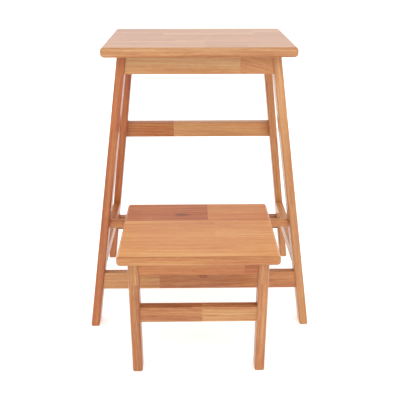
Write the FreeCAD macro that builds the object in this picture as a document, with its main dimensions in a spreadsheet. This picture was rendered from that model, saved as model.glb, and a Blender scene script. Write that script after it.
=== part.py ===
import FreeCAD, Part
import os

import Sketcher

# Two-step wooden flip stool.  A tall stool with four splayed legs carries a round rod between its
# front legs, and a low step turns on that rod: down in front of the stool for use, up and over
# into the stool for storage.
# +X is to the user's right, +Y is away from the user, +Z is up.  The origin is on the floor under
# the middle of the whole object with the step down.  Millimetres and degrees.

DIMENSIONS = {
    # tall stool
    "stool_height": 605,          # floor to the top of the upper tread
    "top_width": 381,
    "top_depth": 286,
    "top_thickness": 19.5,
    "top_edge_radius": 7,
    "top_corner_radius": 9,
    "stool_set_back": 89.55,      # stool's own middle, behind the origin
    "leg_rake": 6.6,              # lean of the front and rear frames
    "leg_splay": 7.8,             # lean of each leg sideways, inside its frame
    "leg_thickness": 18,
    "leg_depth": 36,
    "leg_top_half_width": 162,    # outer faces of the legs, under the tread
    "leg_top_reach": 110,         # outer face of a frame from the stool's middle, under the tread
    "leg_edge_radius": 3.5,
    "foot_edge_radius": 3,
    "rail_thickness": 18,
    "rail_recess": 4,             # rails sit back from the outer faces of the legs
    "rail_edge_radius": 2.2,
    "apron_height": 37,
    "rail_height": 37,
    "front_rail_height": 39,
    "front_rail_rise": 89,        # lower edges of the rails, measured up the frames
    "rear_rail_rise": 85.7,
    "upper_rail_rise": 354.5,
    "side_rail_rise": 132.6,      # lower inner edge of the side rails above the floor
    # pivot
    "rod_diameter": 17.5,
    "rod_height": 233,
    "rod_clearance": 0.05,        # radial running clearance in the legs
    "rod_seat_depth": 12,         # blind bore in each front leg
    "rod_end_gap": 0.7,
    # step
    "step_height": 269.8,
    "step_width": 298,
    "step_front": 356.5,          # front edge of the step tread, in front of the stool's middle
    "step_back": 112,
    "step_thickness": 18,
    "step_shift": -4.4,           # the step hangs a little left of the stool's middle
    "step_edge_radius": 5.5,
    "step_corner_radius": 7,
    "step_leg_half_width": 131.5,
    "step_leg_thickness": 19.5,
    "step_leg_front": 334,
    "step_leg_depth": 32,
    "step_leg_edge_radius": 4,
    "step_rail_height": 33.5,
    "stretcher_rise": 114.7,
    # dowels
    "dowel_diameter": 8,
    "dowel_length": 35,
    "dowel_in_leg": 11,
    "dowel_in_step_leg": 10,
    "board_dowel_length": 28,
    "board_dowel_in_board": 10,
}

# Expressions that several sub-parts share.
RAKE = "Dims.leg_rake"
SPLAY = "Dims.leg_splay"
UNDERSIDE = "(Dims.stool_height - Dims.top_thickness)"
STEP_UNDERSIDE = "(Dims.step_height - Dims.step_thickness)"
CHEEK_HALF = f"({STEP_UNDERSIDE} - Dims.rod_height)"
FRAME_RISE = f"({UNDERSIDE} / cos({RAKE}))"
FOOT_REACH = f"(Dims.leg_top_reach + {UNDERSIDE} * tan({RAKE}))"
RAIL_MIDDLE = "(Dims.rail_recess + Dims.rail_thickness / 2)"
ROD_RISE = f"((Dims.rod_height + Dims.leg_depth / 2 * sin({RAKE})) / cos({RAKE}))"
MARGIN = 12                       # how far blanks run past their trimmed ends
FRONT = -1
REAR = 1
LEFT = -1
RIGHT = 1
SIDES = {"left": LEFT, "right": RIGHT}

doc = FreeCAD.newDocument("FlipStepStool")
sub_parts = []


def outer_x(rise):
    """Outer edge of a leg at a height measured up its frame."""
    return f"(Dims.leg_top_half_width + ({FRAME_RISE} - ({rise})) * tan({SPLAY}))"


def inner_x(rise):
    """Inner edge of a leg at a height measured up its frame."""
    return f"({outer_x(rise)} - Dims.leg_thickness / cos({SPLAY}))"


def frame_y(end, depth, rise):
    """Y of a point in a leg frame, from its depth behind the outer face and its rise."""
    reach = f"({FOOT_REACH} - ({depth}) * cos({RAKE}) - ({rise}) * sin({RAKE}))"
    return f"(Dims.stool_set_back + {end} * {reach})"


def frame_z(depth, rise):
    """Height of a point in a leg frame above the floor."""
    return f"(({rise}) * cos({RAKE}) - ({depth}) * sin({RAKE}))"


def number(expression):
    """Present value of an expression, as a plain number."""
    value = dims.evalExpression(expression.replace("Dims.", ""))
    return float(getattr(value, "Value", value))


def make_sheet():
    sheet = doc.addObject("Spreadsheet::Sheet", "Dims")
    for row, (alias, value) in enumerate(DIMENSIONS.items(), start=1):
        sheet.set(f"A{row}", str(value))
        sheet.setAlias(f"A{row}", alias)
    doc.recompute()
    return sheet


def new_body(name):
    body = doc.addObject("PartDesign::Body", name)
    body.Label = name
    return body


def place(item, x="0", y="0", z="0", axis=(1, 0, 0), angle=0):
    """Turn an object by a fixed angle and put it where three expressions say."""
    item.Placement = FreeCAD.Placement(
        FreeCAD.Vector(0, 0, 0), FreeCAD.Rotation(FreeCAD.Vector(*axis), angle))
    for letter, expression in zip("xyz", (x, y, z)):
        item.setExpression(f"Placement.Base.{letter}", expression)


def place_in_frame(body, end):
    """Lay a body that is drawn in frame coordinates into the front or the rear frame."""
    turn = FreeCAD.Rotation(FreeCAD.Vector(0, 0, 1), 180 if end == REAR else 0)
    lean = FreeCAD.Rotation(FreeCAD.Vector(1, 0, 0), -dims.leg_rake)
    body.Placement = FreeCAD.Placement(FreeCAD.Vector(0, 0, 0), turn * lean)
    body.setExpression("Placement.Base.y", f"Dims.stool_set_back + {end} * {FOOT_REACH}")


def new_sketch(body, name, role, offset=None):
    """Sketch on one of the body's own origin planes, moved along its normal if asked."""
    plane = next(item for item in body.Origin.OriginFeatures if item.Role == role)
    sketch = body.newObject("Sketcher::SketchObject", name)
    sketch.AttachmentSupport = [(plane, "")]
    sketch.MapMode = "FlatFace"
    if offset:
        sketch.setExpression("AttachmentOffset.Base.z", offset)
    return sketch


def pin_point(sketch, geometry, position, x, y):
    """Fix one point of a sketch from the origin with two driven distances."""
    for kind, expression in (("DistanceX", x), ("DistanceY", y)):
        constraint = Sketcher.Constraint(kind, -1, 1, geometry, position, number(expression))
        index = sketch.addConstraint(constraint)
        sketch.setExpression(f"Constraints[{index}]", expression)


def add_polygon(sketch, points):
    """Closed outline whose corners are pairs of expressions."""
    corners = [FreeCAD.Vector(number(x), number(y), 0) for x, y in points]
    first = sketch.GeometryCount
    count = len(corners)
    for index in range(count):
        sketch.addGeometry(Part.LineSegment(corners[index], corners[(index + 1) % count]))
    for index in range(count):
        following = first + (index + 1) % count
        sketch.addConstraint(Sketcher.Constraint("Coincident", first + index, 2, following, 1))
    for index, (x, y) in enumerate(points):
        pin_point(sketch, first + index, 1, x, y)


def add_circle(sketch, x, y, radius):
    centre = FreeCAD.Vector(number(x), number(y), 0)
    circle = Part.Circle(centre, FreeCAD.Vector(0, 0, 1), number(radius))
    geometry = sketch.addGeometry(circle)
    pin_point(sketch, geometry, 3, x, y)
    index = sketch.addConstraint(Sketcher.Constraint("Radius", geometry, number(radius)))
    sketch.setExpression(f"Constraints[{index}]", radius)


def pad(body, sketch, length, both_ways=False, backwards=False):
    feature = body.newObject("PartDesign::Pad", f"{sketch.Name}Pad")
    feature.Profile = sketch
    feature.setExpression("Length", length)
    feature.Midplane = both_ways
    feature.Reversed = backwards
    doc.recompute()
    return feature


def pocket(body, sketch, length=None, backwards=False):
    """Cut a sketch through everything, or to a depth; stops if nothing was cut."""
    before = body.Shape.Volume
    feature = body.newObject("PartDesign::Pocket", f"{sketch.Name}Pocket")
    feature.Profile = sketch
    if length:
        feature.setExpression("Length", length)
        feature.Reversed = backwards
    else:
        feature.Type = "ThroughAll"
        feature.Midplane = True
    doc.recompute()
    if body.Shape.Volume > before - 1:
        raise RuntimeError(f"{feature.Name} cut nothing")
    return feature


def dress(body, radius, chosen):
    """Round the edges of the body that a test picks."""
    tip = body.Tip
    names = [f"Edge{n}" for n, edge in enumerate(tip.Shape.Edges, start=1) if chosen(edge)]
    feature = body.newObject("PartDesign::Fillet", f"{body.Name}Round{len(body.Group)}")
    feature.Base = (tip, names)
    feature.setExpression("Radius", radius)
    doc.recompute()
    return feature


def longer_than(length):
    return lambda edge: edge.Length > length


def at_height(body, height):
    """Edges that lie at one height above the floor, once the body is in place."""
    def chosen(edge):
        spots = [body.Placement.multVec(spot) for spot in edge.discretize(3)]
        return all(abs(spot.z - height) < 0.05 for spot in spots)
    return chosen


def tall_leg(name, end, side):
    """One leg of the tall stool: a straight bar that leans two ways, cut level at both ends."""
    hand = side if end == FRONT else -side
    body = new_body(f"{name}_blank")
    outline = new_sketch(body, f"{name}Side", "XZ_Plane")
    low = f"(0 - {MARGIN})"
    high = f"({FRAME_RISE} + {MARGIN})"
    add_polygon(outline, [
        (f"{hand} * {inner_x(low)}", low),
        (f"{hand} * {outer_x(low)}", low),
        (f"{hand} * {outer_x(high)}", high),
        (f"{hand} * {inner_x(high)}", high)])
    pad(body, outline, "Dims.leg_depth", backwards=True)
    ends = new_sketch(body, f"{name}Ends", "YZ_Plane")
    near = f"(0 - {MARGIN})"
    far = f"(Dims.leg_depth + {MARGIN})"
    floor_low = f"(0 - 2 * {MARGIN})"
    top_high = f"({FRAME_RISE} + 2 * {MARGIN})"
    add_polygon(ends, [
        (near, floor_low), (far, floor_low),
        (far, f"{far} * tan({RAKE})"), (near, f"{near} * tan({RAKE})")])
    add_polygon(ends, [
        (near, f"{FRAME_RISE} + {near} * tan({RAKE})"), (far, f"{FRAME_RISE} + {far} * tan({RAKE})"),
        (far, top_high), (near, top_high)])
    pocket(body, ends)
    dress(body, "Dims.leg_edge_radius", longer_than(DIMENSIONS["stool_height"] / 2))
    place_in_frame(body, end)
    dress(body, "Dims.foot_edge_radius", at_height(body, 0))
    if end == FRONT:
        seat = new_sketch(body, f"{name}RodSeat", "YZ_Plane")
        radius = "(Dims.rod_diameter / 2 + Dims.rod_clearance)"
        add_circle(seat, "Dims.leg_depth / 2", ROD_RISE, radius)
        reach = f"{inner_x(ROD_RISE)} + Dims.rod_seat_depth"
        pocket(body, seat, reach, backwards=hand == RIGHT)
    return body


def frame_rail(name, end, rise, height, under_board=False):
    """Cross rail of a leg frame, its ends cut to the splay of the legs."""
    body = new_body(f"{name}_blank")
    outline = new_sketch(body, f"{name}Face", "XZ_Plane", "0 - Dims.rail_recess")
    top = f"({rise} + {height})"
    if under_board:
        top = f"({top} + {MARGIN})"
    add_polygon(outline, [
        (f"0 - {inner_x(rise)}", rise), (inner_x(rise), rise),
        (inner_x(top), top), (f"0 - {inner_x(top)}", top)])
    pad(body, outline, "Dims.rail_thickness", backwards=True)
    if under_board:
        trim = new_sketch(body, f"{name}Trim", "YZ_Plane")
        near = f"(0 - {MARGIN})"
        far = f"(Dims.leg_depth + {MARGIN})"
        high = f"({FRAME_RISE} + 2 * {MARGIN})"
        add_polygon(trim, [
            (near, f"{FRAME_RISE} + {near} * tan({RAKE})"),
            (far, f"{FRAME_RISE} + {far} * tan({RAKE})"), (far, high), (near, high)])
        pocket(body, trim)
        dress(body, "Dims.rail_edge_radius",
              lambda edge: edge.Length > 200 and edge.CenterOfMass.z < number(top) - 2 * MARGIN)
    else:
        dress(body, "Dims.rail_edge_radius", longer_than(200))
    place_in_frame(body, end)
    return body


def side_rail(name, side, rise, height, under_board=False):
    """Rail from the front leg to the rear leg of one side, leaning with them."""
    body = new_body(f"{name}_blank")
    section = new_sketch(body, f"{name}Section", "XZ_Plane")
    leg_rise = f"(({rise} + Dims.leg_depth * sin({RAKE})) / cos({RAKE}))"
    x = inner_x(leg_rise)
    thick = "Dims.leg_thickness"
    inner_low = (x, rise)
    outer_low = (f"({x} + {thick} * cos({SPLAY}))", f"({rise} + {thick} * sin({SPLAY}))")
    if under_board:
        inner_high = (f"({x} - ({UNDERSIDE} - {rise}) * tan({SPLAY}))", UNDERSIDE)
        outer_high = (f"({outer_low[0]} - ({UNDERSIDE} - {outer_low[1]}) * tan({SPLAY}))", UNDERSIDE)
    else:
        inner_high = (f"({x} - {height} * sin({SPLAY}))", f"({rise} + {height} * cos({SPLAY}))")
        outer_high = (f"({outer_low[0]} - {height} * sin({SPLAY}))",
                      f"({outer_low[1]} + {height} * cos({SPLAY}))")
    corners = [inner_low, outer_low, outer_high, inner_high]
    add_polygon(section, [(f"{side} * {x_of}", z_of) for x_of, z_of in corners])
    pad(body, section, f"2 * {FOOT_REACH}", both_ways=True)
    ends = new_sketch(body, f"{name}Ends", "YZ_Plane")
    low = f"({rise} - {MARGIN})"
    high = f"({rise} + {height} + 2 * {MARGIN})"
    far = f"({FOOT_REACH} + {MARGIN})"
    inside = f"({FOOT_REACH} - Dims.leg_depth / cos({RAKE}))"
    for end in (FRONT, REAR):
        add_polygon(ends, [
            (f"{end} * {far}", low), (f"{end} * ({inside} - {low} * tan({RAKE}))", low),
            (f"{end} * ({inside} - {high} * tan({RAKE}))", high), (f"{end} * {far}", high)])
    pocket(body, ends)
    limit = number(UNDERSIDE) - 1
    dress(body, "Dims.rail_edge_radius",
          lambda edge: edge.Length > 100 and edge.CenterOfMass.z < limit)
    place(body, y="Dims.stool_set_back")
    return body


def tread(name, width, depth, thickness, corner_radius, edge_radius):
    """Rounded board, centred on its own origin, with its underside on the XY plane."""
    body = new_body(f"{name}_blank")
    outline = new_sketch(body, f"{name}Outline", "XY_Plane")
    add_polygon(outline, [
        (f"0 - {width} / 2", f"0 - {depth} / 2"), (f"{width} / 2", f"0 - {depth} / 2"),
        (f"{width} / 2", f"{depth} / 2"), (f"0 - {width} / 2", f"{depth} / 2")])
    pad(body, outline, thickness)
    height = number(thickness)
    dress(body, corner_radius, lambda edge: abs(edge.Length - height) < 0.01)
    dress(body, edge_radius,
          lambda edge: abs(edge.CenterOfMass.z - height / 2) > height / 2 - 0.01)
    return body


def step_leg(name, side):
    body = new_body(f"{name}_blank")
    outline = new_sketch(body, f"{name}Section", "XY_Plane")
    half_width = "Dims.step_leg_thickness / 2"
    half_depth = "Dims.step_leg_depth / 2"
    add_polygon(outline, [
        (f"0 - {half_width}", f"0 - {half_depth}"), (half_width, f"0 - {half_depth}"),
        (half_width, half_depth), (f"0 - {half_width}", half_depth)])
    pad(body, outline, STEP_UNDERSIDE)
    edges = longer_than(DIMENSIONS["step_height"] / 2)
    dress(body, "Dims.step_leg_edge_radius", edges)
    dress(body, "Dims.foot_edge_radius", at_height(body, 0))
    place(body,
          x=f"Dims.step_shift + {side} * (Dims.step_leg_half_width - {half_width})",
          y="Dims.stool_set_back - Dims.step_leg_front + Dims.step_leg_depth / 2")
    return body


def step_rail(name, rise):
    """Cross rail between the legs of the step."""
    body = new_body(f"{name}_blank")
    outline = new_sketch(body, f"{name}Section", "YZ_Plane")
    half = "Dims.rail_thickness / 2"
    top = "Dims.step_rail_height"
    add_polygon(outline, [(f"0 - {half}", "0"), (half, "0"), (half, top), (f"0 - {half}", top)])
    pad(body, outline, "2 * (Dims.step_leg_half_width - Dims.step_leg_thickness)", both_ways=True)
    dress(body, "Dims.rail_edge_radius", longer_than(DIMENSIONS["step_width"] / 2))
    place(body, x="Dims.step_shift",
          y=f"Dims.stool_set_back - Dims.step_leg_front + {RAIL_MIDDLE}", z=rise)
    return body


def step_cheek(name, side):
    """Side bearer under the step tread, rounded at the back around the rod that it is glued to."""
    body = new_body(f"{name}_blank")
    outline = new_sketch(body, f"{name}Outline", "YZ_Plane")
    front = f"({ROD_Y} - (Dims.stool_set_back - Dims.step_leg_front + Dims.step_leg_depth))"
    add_polygon(outline, [
        (f"0 - {front}", f"0 - {CHEEK_HALF}"), ("0", f"0 - {CHEEK_HALF}"),
        ("0", CHEEK_HALF), (f"0 - {front}", CHEEK_HALF)])
    pad(body, outline, "Dims.leg_thickness", both_ways=True)
    nose = new_sketch(body, f"{name}Nose", "YZ_Plane")
    add_circle(nose, "0", "0", CHEEK_HALF)
    pad(body, nose, "Dims.leg_thickness", both_ways=True)
    seat = new_sketch(body, f"{name}RodSeat", "YZ_Plane")
    add_circle(seat, "0", "0", "Dims.rod_diameter / 2")
    pocket(body, seat)
    place(body, x=f"Dims.step_shift + {side} * (Dims.step_leg_half_width - Dims.leg_thickness / 2)",
          y=ROD_Y, z="Dims.rod_height")
    return body


def dowel(x, y, z, axis, length="Dims.dowel_length"):
    """Round pin that starts at a point and runs along X, Y or Z."""
    item = doc.addObject("Part::Cylinder", "Dowel")
    item.setExpression("Radius", "Dims.dowel_diameter / 2")
    item.setExpression("Height", length)
    turn = {"X": ((0, 1, 0), 90), "Y": ((1, 0, 0), -90), "Z": ((0, 0, 1), 0)}[axis]
    place(item, x, y, z, *turn)
    return item


def dowel_group(name, items):
    group = doc.addObject("Part::Compound", name)
    group.Label = name
    group.Links = items
    doc.recompute()
    sub_parts.append(group)
    return group


def rail_dowels():
    """Two dowels at each end of every cross rail and apron of the two leg frames."""
    items = []
    quarter = "Dims.rail_height / 4"
    rails = [
        (FRONT, "Dims.front_rail_rise"), (REAR, "Dims.rear_rail_rise"),
        (REAR, "Dims.upper_rail_rise"), (FRONT, APRON_RISE), (REAR, APRON_RISE)]
    for end, rise in rails:
        shoulder = inner_x(f"{rise} + 2 * {quarter}")
        for share in (1, 3):
            height = f"({rise} + {share} * {quarter})"
            y = frame_y(end, RAIL_MIDDLE, height)
            z = frame_z(RAIL_MIDDLE, height)
            reach = f"({shoulder} + Dims.dowel_in_leg)"
            items.append(dowel(f"{reach} - Dims.dowel_length", y, z, "X"))
            items.append(dowel(f"0 - {reach}", y, z, "X"))
    return dowel_group("rail_dowels", items)


def side_dowels():
    """Two dowels at each end of the side rails and side aprons."""
    items = []
    for rise, height in (("Dims.side_rail_rise", "Dims.rail_height"),
                         (SIDE_APRON_RISE, "Dims.apron_height")):
        for share in (0.3, 0.7):
            z = f"({rise} + {share} * {height})"
            leg_rise = f"(({z} + Dims.leg_depth * sin({RAKE})) / cos({RAKE}))"
            x = f"({inner_x(leg_rise)} + Dims.leg_thickness / 2)"
            shoulder = f"({FOOT_REACH} - Dims.leg_depth / cos({RAKE}) - {z} * tan({RAKE}))"
            reach = f"({shoulder} + Dims.dowel_in_leg)"
            for side in (LEFT, RIGHT):
                across = f"{side} * {x}"
                back = f"Dims.stool_set_back + {reach} - Dims.dowel_length"
                items.append(dowel(across, back, z, "Y"))
                items.append(dowel(across, f"Dims.stool_set_back - {reach}", z, "Y"))
    return dowel_group("side_dowels", items)


def top_dowels():
    """Upright dowels from the aprons into the underside of the upper tread."""
    items = []
    length = "Dims.board_dowel_length"
    z = f"{UNDERSIDE} + Dims.board_dowel_in_board - {length}"
    middle_rise = f"({FRAME_RISE} - {length} / 3)"
    side_x = f"({inner_x(middle_rise)} + Dims.leg_thickness / 2)"
    for side in (LEFT, RIGHT):
        for end in (FRONT, REAR):
            across = f"{side} * Dims.top_width / 5"
            items.append(dowel(across, frame_y(end, RAIL_MIDDLE, middle_rise), z, "Z", length))
            along = f"Dims.stool_set_back + {end} * Dims.top_depth / 9"
            items.append(dowel(f"{side} * {side_x}", along, z, "Z", length))
    return dowel_group("top_dowels", items)


def step_frame_dowels():
    """Dowels of the step: rails to legs across, cheeks to legs along."""
    items = []
    inner = "(Dims.step_leg_half_width - Dims.step_leg_thickness)"
    rail_y = f"Dims.stool_set_back - Dims.step_leg_front + {RAIL_MIDDLE}"
    reach = f"({inner} + Dims.dowel_in_leg)"
    for rise in ("Dims.stretcher_rise", STEP_APRON_RISE):
        for share in (0.27, 0.73):
            z = f"{rise} + {share} * Dims.step_rail_height"
            items.append(dowel(f"Dims.step_shift + {reach} - Dims.dowel_length", rail_y, z, "X"))
            items.append(dowel(f"Dims.step_shift - {reach}", rail_y, z, "X"))
    back = "Dims.stool_set_back - Dims.step_leg_front + Dims.step_leg_depth"
    for side in (LEFT, RIGHT):
        x = f"Dims.step_shift + {side} * (Dims.step_leg_half_width - Dims.leg_thickness / 2)"
        for share in (-1, 1):
            z = f"Dims.rod_height + {share} * {CHEEK_HALF} / 2"
            items.append(dowel(x, f"{back} - Dims.dowel_in_step_leg", z, "Y"))
    return dowel_group("step_frame_dowels", items)


def step_board_dowels():
    """Upright dowels from the cheeks and the step's apron into its tread."""
    items = []
    length = "Dims.board_dowel_length"
    z = f"{STEP_UNDERSIDE} + Dims.board_dowel_in_board - {length}"
    rail_y = f"Dims.stool_set_back - Dims.step_leg_front + {RAIL_MIDDLE}"
    for side in (LEFT, RIGHT):
        x = f"Dims.step_shift + {side} * (Dims.step_leg_half_width - Dims.leg_thickness / 2)"
        for ahead in (0.3, 0.75):
            y = f"{ROD_Y} - {ahead} * (Dims.step_leg_front - Dims.step_back) * 0.7"
            items.append(dowel(x, y, z, "Z", length))
        across = f"Dims.step_shift + {side} * Dims.step_width / 6"
        items.append(dowel(across, rail_y, z, "Z", length))
    return dowel_group("step_board_dowels", items)


def drilled(name, blank, dowels):
    """The finished piece: its blank with the dowel holes taken out."""
    cut = doc.addObject("Part::Cut", name)
    cut.Label = name
    cut.Base = blank
    cut.Tool = dowels
    doc.recompute()
    sub_parts.append(cut)


def tool_set(name, groups):
    tools = doc.addObject("Part::Compound", name)
    tools.Links = groups
    doc.recompute()
    return tools


def build_stool(tools):
    for side_name, side in SIDES.items():
        for end_name, end in (("front", FRONT), ("rear", REAR)):
            name = f"{end_name}_{side_name}_leg"
            drilled(name, tall_leg(name, end, side), tools)
        name = f"{side_name}_side_rail"
        blank = side_rail(name, side, "Dims.side_rail_rise", "Dims.rail_height")
        drilled(name, blank, tools)
        name = f"{side_name}_apron"
        blank = side_rail(name, side, SIDE_APRON_RISE, "Dims.apron_height", under_board=True)
        drilled(name, blank, tools)
    for name, end, rise, height in (
            ("lower_front_rail", FRONT, "Dims.front_rail_rise", "Dims.front_rail_height"),
            ("lower_rear_rail", REAR, "Dims.rear_rail_rise", "Dims.rail_height"),
            ("upper_rear_rail", REAR, "Dims.upper_rail_rise", "Dims.rail_height")):
        drilled(name, frame_rail(name, end, rise, height), tools)
    for name, end in (("front_apron", FRONT), ("rear_apron", REAR)):
        blank = frame_rail(name, end, APRON_RISE, "Dims.apron_height", under_board=True)
        drilled(name, blank, tools)
    board = tread("upper_tread", "Dims.top_width", "Dims.top_depth", "Dims.top_thickness",
                  "Dims.top_corner_radius", "Dims.top_edge_radius")
    place(board, y="Dims.stool_set_back", z=UNDERSIDE)
    drilled("upper_tread", board, tools)


def build_step(tools):
    for side_name, side in SIDES.items():
        drilled(f"step_{side_name}_leg", step_leg(f"step_{side_name}_leg", side), tools)
        drilled(f"step_{side_name}_cheek", step_cheek(f"step_{side_name}_cheek", side), tools)
    drilled("step_stretcher", step_rail("step_stretcher", "Dims.stretcher_rise"), tools)
    drilled("step_apron", step_rail("step_apron", STEP_APRON_RISE), tools)
    board = tread("step_tread", "Dims.step_width", "(Dims.step_front - Dims.step_back)",
                  "Dims.step_thickness", "Dims.step_corner_radius", "Dims.step_edge_radius")
    place(board, x="Dims.step_shift",
          y="Dims.stool_set_back - (Dims.step_front + Dims.step_back) / 2", z=STEP_UNDERSIDE)
    drilled("step_tread", board, tools)


def build_rod():
    """The rod runs from one front leg to the other and turns in their blind bores."""
    rod = doc.addObject("Part::Cylinder", "pivot_rod")
    rod.Label = "pivot_rod"
    half = f"({inner_x(ROD_RISE)} + Dims.rod_seat_depth - Dims.rod_end_gap)"
    rod.setExpression("Radius", "Dims.rod_diameter / 2")
    rod.setExpression("Height", f"2 * {half}")
    place(rod, f"0 - {half}", ROD_Y, "Dims.rod_height", (0, 1, 0), 90)
    doc.recompute()
    sub_parts.append(rod)


def write_parts():
    for item in doc.Objects:
        if "Invalid" in item.State or "Error" in item.State:
            raise RuntimeError(f"{item.Name} failed: {item.State}")
    for part in sub_parts:
        if part.Shape.isNull() or not part.Shape.isValid():
            raise RuntimeError(f"{part.Label} has no valid shape")
    os.makedirs("parts", exist_ok=True)
    for part in sub_parts:
        part.Shape.exportStep(f"parts/{part.Label}.step")
        box = part.Shape.BoundBox
        print(f"{part.Label:20s} {len(part.Shape.Solids)} solid(s) {part.Shape.Volume / 1000:8.1f} cm3"
              f"  X {box.XMin:7.1f} {box.XMax:7.1f}  Y {box.YMin:7.1f} {box.YMax:7.1f}"
              f"  Z {box.ZMin:6.1f} {box.ZMax:6.1f}")


dims = make_sheet()
ROD_Y = frame_y(FRONT, "Dims.leg_depth / 2", ROD_RISE)
APRON_RISE = f"({FRAME_RISE} - Dims.apron_height)"
SIDE_APRON_RISE = f"({UNDERSIDE} - Dims.apron_height)"
STEP_APRON_RISE = f"({STEP_UNDERSIDE} - Dims.step_rail_height)"
stool_dowels = [rail_dowels(), side_dowels(), top_dowels()]
step_dowels = [step_frame_dowels(), step_board_dowels()]
build_stool(tool_set("StoolDrills", stool_dowels))
build_step(tool_set("StepDrills", step_dowels))
build_rod()
write_parts()
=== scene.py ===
from itertools import count
from math import pi, radians
from typing import NamedTuple

import bpy
from mathutils import Matrix, Vector


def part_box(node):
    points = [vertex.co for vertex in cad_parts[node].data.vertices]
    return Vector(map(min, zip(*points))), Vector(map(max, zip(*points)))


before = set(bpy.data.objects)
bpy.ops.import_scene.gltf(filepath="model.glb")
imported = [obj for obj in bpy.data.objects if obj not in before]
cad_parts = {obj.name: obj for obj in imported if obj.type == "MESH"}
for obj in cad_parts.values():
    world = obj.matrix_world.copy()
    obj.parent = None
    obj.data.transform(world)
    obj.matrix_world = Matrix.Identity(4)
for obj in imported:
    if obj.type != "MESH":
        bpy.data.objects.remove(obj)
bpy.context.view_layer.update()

# A wooden flip stool with two treads.  Every piece keeps its CAD shape and gets a lacquered
# wood of its own, with the grain laid along the piece.  Metres, +Z up, the step in front at -Y.

# ---------------------------------------------------------------- node helpers

# sockets of a Mix node that hold its two colours and its result
MIX_FIRST = 6
MIX_SECOND = 7
MIX_RESULT = 2


class Graph:
    """Short hand for building one material's node tree."""

    def __init__(self, name):
        self.material = bpy.data.materials.new(name)
        self.material.use_nodes = True
        self.tree = self.material.node_tree
        self.tree.nodes.clear()

    def node(self, kind, inputs=(), **settings):
        item = self.tree.nodes.new(kind)
        for key, value in settings.items():
            setattr(item, key, value)
        for key, value in dict(inputs).items():
            self.feed(item.inputs[key], value)
        return item

    def feed(self, socket, value):
        if isinstance(value, bpy.types.NodeSocket):
            self.tree.links.new(value, socket)
        else:
            socket.default_value = value

    def math(self, operation, a, b=0.0):
        return self.node("ShaderNodeMath", {0: a, 1: b}, operation=operation).outputs[0]

    def add(self, a, b):
        return self.math("ADD", a, b)

    def times(self, a, b):
        return self.math("MULTIPLY", a, b)

    def minus(self, a, b):
        return self.math("SUBTRACT", a, b)

    def vector(self, x, y, z):
        return self.node("ShaderNodeCombineXYZ", {0: x, 1: y, 2: z}).outputs[0]

    def scaled(self, vector, factors):
        inputs = {0: vector, 1: factors}
        return self.node("ShaderNodeVectorMath", inputs, operation="MULTIPLY").outputs[0]

    def noise(self, vector, along, across, detail, roughness, distortion=0.0):
        """Noise in 0..1 with so many waves to the metre along X, and across it."""
        inputs = {"Vector": self.scaled(vector, (along, across, across)), "Scale": 1.0,
                  "Detail": detail, "Roughness": roughness, "Distortion": distortion}
        return self.node("ShaderNodeTexNoise", inputs).outputs["Fac"]

    def smooth(self, value, low, high, to_low=0.0, to_high=1.0):
        """Soft step from to_low at low to to_high at high."""
        inputs = {"Value": value, "From Min": low, "From Max": high, "To Min": to_low,
                  "To Max": to_high}
        item = self.node("ShaderNodeMapRange", inputs, interpolation_type="SMOOTHSTEP")
        return item.outputs[0]

    def ramp(self, value, stops, interpolation="LINEAR"):
        item = self.node("ShaderNodeValToRGB", {0: value})
        item.color_ramp.interpolation = interpolation
        elements = item.color_ramp.elements
        while len(elements) < len(stops):
            elements.new(1.0)
        for element, (position, colour) in zip(elements, stops):
            element.position = position
            element.color = (*colour, 1.0)
        return item.outputs[0]

    def mix(self, factor, first, second, blend="MIX"):
        item = self.node("ShaderNodeMix", {"Factor": factor}, data_type="RGBA", blend_type=blend)
        self.feed(item.inputs[MIX_FIRST], first)
        self.feed(item.inputs[MIX_SECOND], second)
        return item.outputs[MIX_RESULT]

    def finish(self, shader):
        output = self.node("ShaderNodeOutputMaterial")
        self.tree.links.new(shader, output.inputs["Surface"])
        return self.material


def linear(red, green, blue):
    """Linear colour of an sRGB colour given in 0..255."""
    def channel(value):
        value /= 255
        return value / 12.92 if value <= 0.04045 else ((value + 0.055) / 1.055) ** 2.4
    return channel(red), channel(green), channel(blue)


# ---------------------------------------------------------------- wood colours and figure

# Lacquered rubberwood from its darkest heart strips to its palest sapwood.
WOOD_TONES = [
    (0.00, linear(107, 53, 24)),
    (0.22, linear(144, 77, 40)),
    (0.45, linear(163, 102, 57)),
    (0.70, linear(179, 126, 76)),
    (1.00, linear(193, 153, 105))]
BLUSH_COLOUR = (*linear(206, 132, 104), 1)
PORE_COLOUR = (*linear(92, 48, 26), 1)
END_PALE = (*linear(152, 99, 60), 1)
END_DARK = (*linear(124, 73, 43), 1)

# Layers of the grain: waves to the metre along it and across it, then the noise's detail,
# roughness and, for the broad bands, distortion.
GRAIN_LAYERS = {
    "broad": (2.2, 26, 3.0, 0.55, 0.25),
    "bend": (3.5, 20, 2.0, 0.5),
    "blush": (1.6, 17, 2.0, 0.5),
    "streaks": (5, 150, 3.0, 0.6),
    "threads": (7, 400, 2.0, 0.6),
    "fibres": (22, 900, 2.0, 0.6),
    "flecks": (48, 620, 2.0, 0.65),
    "pores": (95, 2300, 1.0, 0.5)}
RUB_PATCHES = (22, 60, 3.0, 0.5)
END_SPECKLE = (300, 650, 2.0, 0.6)
MIDDLE = 0.5                      # mean of a noise

# How far each layer shifts the tone; all but the fibres grow with a piece's contrast.
TONE_SWINGS = {"broad": 0.52, "streaks": 0.50, "threads": 0.55, "flecks": 0.46}
LINE_SWING = 0.045
FIBRE_SWING = 0.12
STREAK_DARKENING = 0.30           # for the boldest streaks, in the palest bands
BOLD_STREAK_RANGE = (0.60, 0.78)
PALE_BAND_RANGE = (0.56, 0.66)

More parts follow.
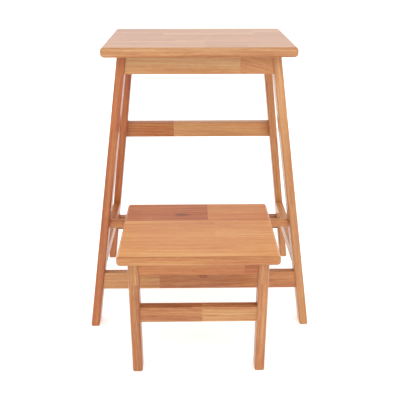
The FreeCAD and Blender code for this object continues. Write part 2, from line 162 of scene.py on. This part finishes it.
# Growth lines of a flat-sawn face.
FIGURE_PITCH = 0.0085             # distance between lines
LINE_BEND = 17.0                  # how far the lines wander, in radians
LINE_DEPTH_TURN = 260.0           # radians to the metre of depth
LINE_BAND_RANGE = (0.3, 0.7)      # broad bands between which the lines come out
FAINTEST_LINE = 0.15

# Long edges: a band of painted shade, rubbed pale in places by wear.
EDGE_BAND = 0.005
EDGE_PAINTED_SHADE = 0.16
RUBBED_LIGHTENING = 0.20
RUB_RANGE = (0.52, 0.66)

# Knots: (place along, place across, half height); rings are bent round them.
KNOT_STRETCH = 2.4                # length of a knot over its height
KNOT_REACH = (0.2, 3.2)           # knot radii between which the rings straighten out
KNOT_SQUEEZE = 0.82
KNOT_RIM = 0.75                   # radius of the dark ring
KNOT_RIM_RANGE = (0.1, 0.65)
KNOT_DARKENING = 0.35

BLUSH_RANGE = (0.35, 0.7)
STRONGEST_BLUSH = 0.15
PORE_RANGE = (0.62, 0.74)
PORE_STRENGTH = 0.30
END_FACING = (0.55, 0.95)         # how squarely a face must look along the grain
END_STRENGTH = 0.6
END_SPECKLE_RANGE = (0.35, 0.75)

# Satin lacquer.
ROUGHNESS = 0.28
STREAK_ROUGHNESS = 0.10
PORE_ROUGHNESS = 0.12
RUBBED_ROUGHNESS = 0.15
FIBRE_RELIEF = 0.5
PORE_RELIEF = -0.8
BAND_RELIEF = 2.5
RELIEF_STRENGTH = 0.22
RELIEF_DEPTH = 0.0004
LACQUER = {"IOR": 1.5, "Specular IOR Level": 0.42, "Coat Weight": 0.08, "Coat Roughness": 0.24}

# Planks of a glued board.
BEYOND = 9.0                      # a share of the width well past the far edge
ROW_LAP = 1e-6                    # rows lap by this share, so that no point falls between two
FIRST_SHIFT = 0.17                # shift of the figure in the first plank
ROW_SHIFT = 0.37                  # further shift for each row
PLANK_SHIFT = 0.61                # further shift for each plank of a row
SLOPE_GAIN = 2.0                  # a slope is stored in a colour as 0.5 plus so many times it
NOSING = 0.0053                   # depth of the strip along the front edge of a tread

JUMP_LENGTH = 23.0                # metres that a whole shift moves the figure along the grain
JUMP_ACROSS = 0.71                # share of that jump made across the grain
JUMP_DEEP = 0.37                  # share of it made into the wood


class Board(NamedTuple):
    """Where a piece lies: its middle, the ways of its length and width, and its sizes."""
    middle: Vector
    along: Vector
    across: Vector
    length: float
    width: float
    thickness: float


def grain_coordinates(graph, board):
    """Object coordinates turned so that X runs along the grain and Y across the face."""
    along = board.along.normalized()
    normal = along.cross(board.across).normalized()
    side = normal.cross(along)
    turn = Matrix((along, side, normal)).transposed()
    place = graph.node("ShaderNodeTexCoord").outputs["Object"]
    inputs = {"Vector": place, "Location": board.middle, "Rotation": turn.to_euler()}
    mapped = graph.node("ShaderNodeMapping", inputs, vector_type="TEXTURE").outputs[0]
    return graph.node("ShaderNodeSeparateXYZ", {0: mapped}).outputs


def plank_data(graph, board, x, y, rows):
    """Tone, shift of the figure and slope of the grain for the plank that a point lies in.

    rows is a list of (share of the width where the row ends, planks); a plank is
    (share of the length where it starts, tone, slope of its grain)."""
    share_along = graph.add(graph.times(x, 1 / board.length), 0.5)
    share_across = graph.add(graph.times(y, 1 / board.width), 0.5)
    total = None
    start = -BEYOND
    for row, (end, planks) in enumerate(rows):
        stops = []
        for plank, (position, tone, slope) in enumerate(planks):
            shift = (ROW_SHIFT * row + PLANK_SHIFT * plank + FIRST_SHIFT) % 1.0
            stops.append((position, (tone, shift, slope * SLOPE_GAIN + 0.5)))
        data = graph.ramp(share_along, stops, "CONSTANT")
        above = graph.math("GREATER_THAN", share_across, start)
        below = graph.math("LESS_THAN", share_across, end)
        part = graph.mix(graph.times(above, below), (0, 0, 0, 1), data)
        total = part if total is None else graph.mix(1.0, total, part, "ADD")
        start = end - ROW_LAP
    tone, shift, stored_slope = graph.node("ShaderNodeSeparateColor", {0: total}).outputs
    return tone, shift, graph.times(graph.minus(stored_slope, 0.5), 1 / SLOPE_GAIN)


def bent_round_knots(graph, x, y, knots):
    """Across-grain coordinate bent round the knots, and how deep in a knot's ring a point is."""
    depth = 0.0
    for knot_x, knot_y, size in knots:
        dx = graph.times(graph.minus(x, knot_x), 1 / (KNOT_STRETCH * size))
        dy = graph.times(graph.minus(y, knot_y), 1 / size)
        reach = graph.math("SQRT", graph.add(graph.times(dx, dx), graph.times(dy, dy)))
        near = graph.smooth(reach, *KNOT_REACH, 1.0, 0.0)
        squeeze = graph.minus(1.0, graph.times(near, KNOT_SQUEEZE))
        y = graph.add(graph.times(graph.minus(y, knot_y), squeeze), knot_y)
        from_rim = graph.math("ABSOLUTE", graph.minus(reach, KNOT_RIM))
        depth = graph.math("MAXIMUM", depth, graph.smooth(from_rim, *KNOT_RIM_RANGE, 1.0, 0.0))
    return y, depth


def edge_shade_and_wear(graph, board, x, y, z, seed):
    """How near a point is to a long edge of its piece, where shade is painted, and how rubbed the
    edge is there.
    """
    reach_across = graph.times(graph.math("ABSOLUTE", y), 2 / board.width)
    reach_deep = graph.times(graph.math("ABSOLUTE", z), 2 / board.thickness)
    near_side = graph.smooth(reach_across, 1 - 2 * EDGE_BAND / board.width, 1.0)
    near_face = graph.smooth(reach_deep, 1 - 2 * EDGE_BAND / board.thickness, 1.0)
    near = graph.times(near_side, near_face)
    patches = graph.noise(graph.vector(graph.add(x, seed), y, z), *RUB_PATCHES)
    return near, graph.times(near, graph.smooth(patches, *RUB_RANGE))


def growth_lines(graph, across, deep, layers):
    """Wavy lines of the figure, -1..1, fainter where the broad bands are dark."""
    phase = graph.add(graph.times(across, 2 * pi / FIGURE_PITCH),
                      graph.times(layers["bend"], LINE_BEND))
    phase = graph.add(phase, graph.times(deep, LINE_DEPTH_TURN))
    shown = graph.smooth(layers["broad"], *LINE_BAND_RANGE, FAINTEST_LINE, 1.0)
    return graph.times(graph.math("SINE", phase), shown)


def figured_tone(graph, tone, lines, layers, contrast):
    """Tone of a plank with its bands, lines, streaks, threads, fibres and flecks."""
    for name, swing in TONE_SWINGS.items():
        shift = graph.times(graph.minus(layers[name], MIDDLE), swing * contrast)
        tone = graph.add(tone, shift)
    tone = graph.add(tone, graph.times(lines, LINE_SWING * contrast))
    tone = graph.add(tone, graph.times(graph.minus(layers["fibres"], MIDDLE), FIBRE_SWING))
    bold_streak = graph.smooth(layers["streaks"], *BOLD_STREAK_RANGE)
    pale_band = graph.smooth(layers["broad"], *PALE_BAND_RANGE)
    bold = graph.times(bold_streak, pale_band)
    return graph.minus(tone, graph.times(bold, STREAK_DARKENING * contrast))


def with_end_grain(graph, board, colour, x, y, z):
    """Faces that look along the grain are darker and duller."""
    facing = graph.node("ShaderNodeTexCoord").outputs["Normal"]
    inputs = {0: facing, 1: board.along.normalized()}
    direction = graph.node("ShaderNodeVectorMath", inputs, operation="DOT_PRODUCT")
    squareness = graph.math("ABSOLUTE", direction.outputs["Value"])
    speckle = graph.noise(graph.vector(x, y, z), *END_SPECKLE)
    end_colour = graph.mix(graph.smooth(speckle, *END_SPECKLE_RANGE), END_PALE, END_DARK)
    strength = graph.times(graph.smooth(squareness, *END_FACING), END_STRENGTH)
    return graph.mix(strength, colour, end_colour)


def lacquered(graph, colour, layers, pores, rubbed):
    """Satin lacquer over the wood, duller on streaks, pores and rubbed edges."""
    roughness = graph.add(graph.times(layers["streaks"], STREAK_ROUGHNESS), ROUGHNESS)
    roughness = graph.add(roughness, graph.times(pores, PORE_ROUGHNESS))
    roughness = graph.add(roughness, graph.times(rubbed, RUBBED_ROUGHNESS))
    relief = graph.add(graph.times(layers["fibres"], FIBRE_RELIEF),
                       graph.times(pores, PORE_RELIEF))
    relief = graph.add(relief, graph.times(layers["broad"], BAND_RELIEF))
    bump = graph.node("ShaderNodeBump", {
        "Strength": RELIEF_STRENGTH, "Distance": RELIEF_DEPTH, "Height": relief})
    shader = graph.node("ShaderNodeBsdfPrincipled", {
        "Base Color": colour, "Roughness": roughness, "Normal": bump.outputs[0]})
    for socket, amount in LACQUER.items():
        shader.inputs[socket].default_value = amount
    return shader.outputs[0]


def wood(node, board, rows, seed):
    """The lacquered wood of one piece, with its planks, figure, knots and end grain."""
    contrast = STREAKY.get(node, 1.0)
    tint = TINTS_AND_PAINTED_LIGHT.get(node, PLAIN_TINT)
    nosing_painted_light_tint = NOSING_PAINTED_LIGHT_TINTS.get(node, tint)
    graph = Graph(f"wood_{node}")
    x, y, z = grain_coordinates(graph, board)
    tone, shift, slope = plank_data(graph, board, x, y, rows)
    near_edge, rubbed = edge_shade_and_wear(graph, board, x, y, z, seed)
    in_nosing = graph.math("LESS_THAN", y, NOSING - board.width / 2)
    y, knot_depth = bent_round_knots(graph, x, y, KNOTS.get(node, ()))

    jump = graph.add(graph.times(shift, JUMP_LENGTH), seed)
    grain_along = graph.add(x, jump)
    grain_across = graph.add(graph.add(y, graph.times(x, slope)), graph.times(jump, JUMP_ACROSS))
    grain_deep = graph.add(z, graph.times(jump, JUMP_DEEP))
    grain = graph.vector(grain_along, grain_across, grain_deep)
    layers = {name: graph.noise(grain, *layer) for name, layer in GRAIN_LAYERS.items()}
    lines = growth_lines(graph, grain_across, grain_deep, layers)
    pores = graph.smooth(layers["pores"], *PORE_RANGE)

    tone = figured_tone(graph, tone, lines, layers, contrast)
    # painted shade: a darker band along the long edges, for the shade on their rounding
    tone = graph.minus(tone, graph.times(near_edge, EDGE_PAINTED_SHADE))
    tone = graph.add(tone, graph.times(rubbed, RUBBED_LIGHTENING))
    tone = graph.minus(tone, graph.times(knot_depth, KNOT_DARKENING))
    # painted light: the strip along a tread's front edge takes a tint of its own, apart from the
    # top
    shade = graph.mix(in_nosing, (*tint, 1), (*nosing_painted_light_tint, 1))
    colour = graph.scaled(graph.ramp(tone, WOOD_TONES), shade)
    blush = graph.smooth(layers["blush"], *BLUSH_RANGE, 0.0, STRONGEST_BLUSH)
    colour = graph.mix(blush, colour, BLUSH_COLOUR, "SOFT_LIGHT")
    colour = graph.mix(graph.times(pores, PORE_STRENGTH), colour, PORE_COLOUR)
    colour = with_end_grain(graph, board, colour, x, y, z)
    return graph.finish(lacquered(graph, colour, layers, pores, rubbed))


# ---------------------------------------------------------------- the pieces

X_AXIS = Vector((1, 0, 0))
Y_AXIS = Vector((0, 1, 0))
Z_AXIS = Vector((0, 0, 1))
# section of the stool's legs; the step's legs are dressed as if they had it too
LEG_THICKNESS = 0.018
LEG_DEPTH = 0.036

# rows of planks: (share of the width where the row ends, its planks)
# planks: (share of the length where each starts, tone, slope of the grain)
# in each tread the first, thin row is the strip along the front edge; its tone of its own is
# painted light, apart from the top
TREAD_ROWS = {
    "upper_tread": [
        (0.02, [(0.0, 0.62, 0.02)]),
        (0.31, [(0.0, 0.58, 0.02), (0.53, 0.53, -0.03), (0.74, 0.58, 0.03)]),
        (0.61, [(0.0, 0.55, 0.0), (0.37, 0.56, 0.02)]),
        (BEYOND, [(0.0, 0.49, 0.03), (0.30, 0.60, 0.0), (0.82, 0.56, -0.02)])],
    "step_tread": [
        (0.02, [(0.0, 0.52, 0.01)]),
        (0.33, [(0.0, 0.73, 0.01)]),
        (0.64, [(0.0, 0.68, 0.01), (0.61, 0.72, 0.0)]),
        (BEYOND, [(0.0, 0.34, 0.0), (0.57, 0.58, -0.02)])]}
RAIL_PLANKS = {
    "front_apron": [(0.0, 0.82, 0.02), (0.77, 0.68, 0.26)],
    "rear_apron": [(0.0, 0.55, 0.0), (0.45, 0.66, -0.03)],
    "upper_rear_rail": [(0.0, 0.50, 0.03), (0.33, 0.86, 0.0), (0.93, 0.66, 0.0)],
    "lower_rear_rail": [(0.0, 0.50, 0.0), (0.6, 0.42, 0.05)],
    "lower_front_rail": [(0.0, 0.70, 0.0), (0.29, 0.50, -0.03)],
    "step_apron": [(0.0, 0.54, 0.0), (0.88, 0.42, 0.0)],
    "step_stretcher": [(0.0, 0.54, 0.03), (0.53, 0.56, 0.02)]}
# the left-hand pieces have darker tones than the right-hand ones: partly their own tone, partly
# painted shade of the less lit left side
SIDE_PLANKS = {
    "left_side_rail": [(0.0, 0.56, 0.0), (0.58, 0.45, 0.0)],
    "right_side_rail": [(0.0, 0.62, 0.02), (0.7, 0.70, 0.0)],
    "left_apron": [(0.0, 0.55, 0.0)],
    "right_apron": [(0.0, 0.60, 0.0)],
    "step_left_cheek": [(0.0, 0.50, 0.0)],
    "step_right_cheek": [(0.0, 0.55, 0.0)]}
LEG_PLANKS = {
    "front_left_leg": [(0.0, 0.43, 0.01), (0.74, 0.40, 0.0)],
    "front_right_leg": [(0.0, 0.72, 0.0), (0.47, 0.75, 0.02)],
    "rear_left_leg": [(0.0, 0.42, 0.0), (0.66, 0.52, 0.0), (0.81, 0.34, 0.0)],
    "rear_right_leg": [(0.0, 0.62, 0.0), (0.6, 0.60, 0.0), (0.84, 0.66, 0.0)],
    "step_left_leg": [(0.0, 0.47, 0.01), (0.79, 0.56, 0.0)],
    "step_right_leg": [(0.0, 0.50, 0.0), (0.79, 0.60, 0.01)]}
ROD_PLANKS = [(0.0, 0.76, 0.0)]
PIN_PLANKS = [(0.0, 0.85, 0.0)]
CROSS_PINS = ("rail_dowels", "side_dowels", "step_frame_dowels")
UPRIGHT_PINS = ("top_dowels", "step_board_dowels")

# Where each kind of piece starts in the figure, and how far on the next piece of it starts.
TREAD_SEEDS = (3.1, 1.0)
RAIL_SEEDS = (5.3, 1.7)
SIDE_SEEDS = (20.4, 1.3)
LEG_SEEDS = (40.9, 2.3)
ROD_SEED = 60.2
CROSS_PIN_SEED = 70.2
UPRIGHT_PIN_SEED = 80.2

KNOTS = {
    "step_tread": [(-0.033, 0.064, 0.0048)],
    "lower_front_rail": [(0.008, 0.010, 0.0034)]}
# warmer, cooler or paler wood: factors on the red, green and blue of a piece's colour; some of
# them carry painted light and shade as well
PLAIN_TINT = (1.0, 1.0, 1.0)
TINTS_AND_PAINTED_LIGHT = {
    # painted light: the step tread's strong warm tint makes its top brighter than its front strip
    "step_tread": (1.24, 1.13, 1.0),
    # the left legs' warmer, darker tints: partly their own tone, partly painted shade of the less
    # lit left side
    "front_left_leg": (1.0, 0.88, 0.74),
    "rear_left_leg": (1.0, 0.85, 0.70),
    "front_right_leg": (0.96, 0.97, 1.0),
    "step_left_leg": (0.93, 1.0, 1.0),
    "step_right_leg": (0.93, 0.94, 0.97),
    "step_stretcher": (0.94, 1.0, 1.0),
    "step_apron": (1.0, 0.92, 0.80),
    "upper_rear_rail": (1.0, 0.95, 0.92),
    "pivot_rod": (1.0, 0.83, 0.66)}
# painted light: the strip along the front edge of a tread is given a cooler tint than its top,
# standing in for the different light on the front face and along the edge
NOSING_PAINTED_LIGHT_TINTS = {
    "step_tread": (1.05, 1.12, 1.04),
    "upper_tread": (0.95, 1.0, 1.08)}
# contrast of the figure where it is not 1
STREAKY = {"step_left_leg": 1.6, "step_right_leg": 1.3, "step_stretcher": 1.5,
           "lower_front_rail": 1.3, "step_tread": 1.1, "upper_tread": 1.2,
           "upper_rear_rail": 1.2}


def corners(node):
    low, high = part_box(node)
    return Vector(low), Vector(high)


def dress(node, board, rows, seed):
    """Give a CAD node its own wood in place of the material it came with."""
    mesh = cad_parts[node].data
    mesh.materials.clear()
    mesh.materials.append(wood(node, board, rows, seed))


def dress_straight(node, along, across, rows, seed):
    """Wood for a piece that lies along one of the axes."""
    low, high = corners(node)
    size = high - low
    length = abs(size.dot(along))
    width = abs(size.dot(across))
    thickness = abs(size.dot(along.cross(across)))
    dress(node, Board((low + high) / 2, along, across, length, width, thickness), rows, seed)


def leg_line(node):
    """Middle of a leg's foot and of its top, from its box and its section."""
    low, high = corners(node)
    stands_straight = high.x - low.x < 2 * LEG_THICKNESS
    if stands_straight:
        middle = (low + high) / 2
        return Vector((middle.x, middle.y, low.z)), Vector((middle.x, middle.y, high.z))
    right = low.x + high.x > 0
    front = "front" in node
    inner_x = low.x + LEG_THICKNESS / 2 if right else high.x - LEG_THICKNESS / 2
    outer_x = high.x - LEG_THICKNESS / 2 if right else low.x + LEG_THICKNESS / 2
    inner_y = high.y - LEG_DEPTH / 2 if front else low.y + LEG_DEPTH / 2
    outer_y = low.y + LEG_DEPTH / 2 if front else high.y - LEG_DEPTH / 2
    return Vector((outer_x, outer_y, low.z)), Vector((inner_x, inner_y, high.z))


def dress_leg(node, planks, seed):
    foot, top = leg_line(node)
    line = top - foot
    board = Board((foot + top) / 2, line, X_AXIS, line.length, LEG_THICKNESS, LEG_DEPTH)
    dress(node, board, [(BEYOND, planks)], seed)


def seeds(first, step):
    """Endless run of seeds."""
    return (first + step * number for number in count())


def dress_everything():
    for (node, rows), seed in zip(TREAD_ROWS.items(), seeds(*TREAD_SEEDS)):
        dress_straight(node, X_AXIS, Y_AXIS, rows, seed)
    for (node, planks), seed in zip(RAIL_PLANKS.items(), seeds(*RAIL_SEEDS)):
        dress_straight(node, X_AXIS, Z_AXIS, [(BEYOND, planks)], seed)
    for (node, planks), seed in zip(SIDE_PLANKS.items(), seeds(*SIDE_SEEDS)):
        dress_straight(node, Y_AXIS, Z_AXIS, [(BEYOND, planks)], seed)
    for (node, planks), seed in zip(LEG_PLANKS.items(), seeds(*LEG_SEEDS)):
        dress_leg(node, planks, seed)
    dress_straight("pivot_rod", X_AXIS, Z_AXIS, [(BEYOND, ROD_PLANKS)], ROD_SEED)
    for node in CROSS_PINS:
        dress_straight(node, X_AXIS, Z_AXIS, [(BEYOND, PIN_PLANKS)], CROSS_PIN_SEED)
    for node in UPRIGHT_PINS:
        dress_straight(node, Z_AXIS, X_AXIS, [(BEYOND, PIN_PLANKS)], UPRIGHT_PIN_SEED)


# ---------------------------------------------------------------- studio

CAMERA_PLACE = (-0.01595, -1.2138, 0.7879)
CAMERA_PITCH = radians(23.18)
CAMERA_YAW = radians(0.835)
FOCAL_SHARE = 1.501               # focal length over picture width
SENSOR = 36.0
NEAREST = 0.01

WHITE = (1.0, 1.0, 1.0, 1.0)
HORIZON_BAND = (0.20, 0.42)       # sine of the height where the surroundings start and end to dim
HORIZON_STRENGTH = 1.36
OVERHEAD_STRENGTH = 1.15

FLOOR_SIZE = 40
FLOOR_PALE = (0.93, 0.93, 0.93)
FLOOR_MOTTLED = tuple(0.985 * channel for channel in FLOOR_PALE)
FLOOR_MOTTLE = (3, 3, 2.0, 0.5)   # a noise layer like those of the grain
FLOOR_ROUGHNESS = 0.9
FLOOR_GLOW = 0.35                 # keeps the pale floor white, with only a faint shadow

KEY_PLACE = Vector((0.4, -2.2, 2.7))
KEY_AIM = Vector((0, 0, 0.3))
KEY_SIZE = (2.6, 2.0)
KEY_POWER = 28


def floor_material():
    """Matt paint with a faint mottle and a little glow, for the studio only."""
    graph = Graph("studio_white")
    place = graph.node("ShaderNodeTexCoord").outputs["Object"]
    mottle = graph.noise(place, *FLOOR_MOTTLE)
    shade = graph.mix(mottle, (*FLOOR_MOTTLED, 1), (*FLOOR_PALE, 1))
    shader = graph.node("ShaderNodeBsdfPrincipled", {"Base Color": shade})
    shader.inputs["Roughness"].default_value = FLOOR_ROUGHNESS
    shader.inputs["Emission Color"].default_value = WHITE
    shader.inputs["Emission Strength"].default_value = FLOOR_GLOW
    return graph.finish(shader.outputs[0])


def make_floor():
    bpy.ops.mesh.primitive_plane_add(size=FLOOR_SIZE)
    floor = bpy.context.object
    floor.name = "studio_floor"
    floor.data.materials.append(floor_material())


def make_surroundings():
    """White all round, brightest near the horizon and dimmer overhead."""
    world = bpy.data.worlds.new("studio")
    world.use_nodes = True
    nodes = world.node_tree.nodes
    links = world.node_tree.links
    background = nodes["Background"]
    direction = nodes.new("ShaderNodeTexCoord")
    parts = nodes.new("ShaderNodeSeparateXYZ")
    fall = nodes.new("ShaderNodeMapRange")
    fall.interpolation_type = "SMOOTHSTEP"
    fall.inputs["From Min"].default_value = HORIZON_BAND[0]
    fall.inputs["From Max"].default_value = HORIZON_BAND[1]
    fall.inputs["To Min"].default_value = HORIZON_STRENGTH
    fall.inputs["To Max"].default_value = OVERHEAD_STRENGTH
    links.new(direction.outputs["Generated"], parts.inputs[0])
    links.new(parts.outputs["Z"], fall.inputs["Value"])
    links.new(fall.outputs[0], background.inputs["Strength"])
    background.inputs["Color"].default_value = WHITE
    bpy.context.scene.world = world


def make_key_light():
    """One large soft light, high in front of the stool."""
    data = bpy.data.lights.new("key", "AREA")
    data.shape = "RECTANGLE"
    data.size, data.size_y = KEY_SIZE
    data.energy = KEY_POWER
    lamp = bpy.data.objects.new("key", data)
    lamp.location = KEY_PLACE
    lamp.rotation_euler = (KEY_AIM - KEY_PLACE).to_track_quat("-Z", "Y").to_euler()
    bpy.context.collection.objects.link(lamp)


def make_studio():
    make_floor()
    make_surroundings()
    make_key_light()
    bpy.context.scene.view_settings.view_transform = "Standard"
    bpy.context.scene.view_settings.look = "None"


def make_camera():
    data = bpy.data.cameras.new("camera")
    data.sensor_width = SENSOR
    data.lens = SENSOR * FOCAL_SHARE
    data.clip_start = NEAREST
    camera = bpy.data.objects.new("camera", data)
    camera.location = CAMERA_PLACE
    camera.rotation_euler = (pi / 2 - CAMERA_PITCH, 0, -CAMERA_YAW)
    bpy.context.collection.objects.link(camera)
    bpy.context.scene.camera = camera


dress_everything()
make_studio()
make_camera()
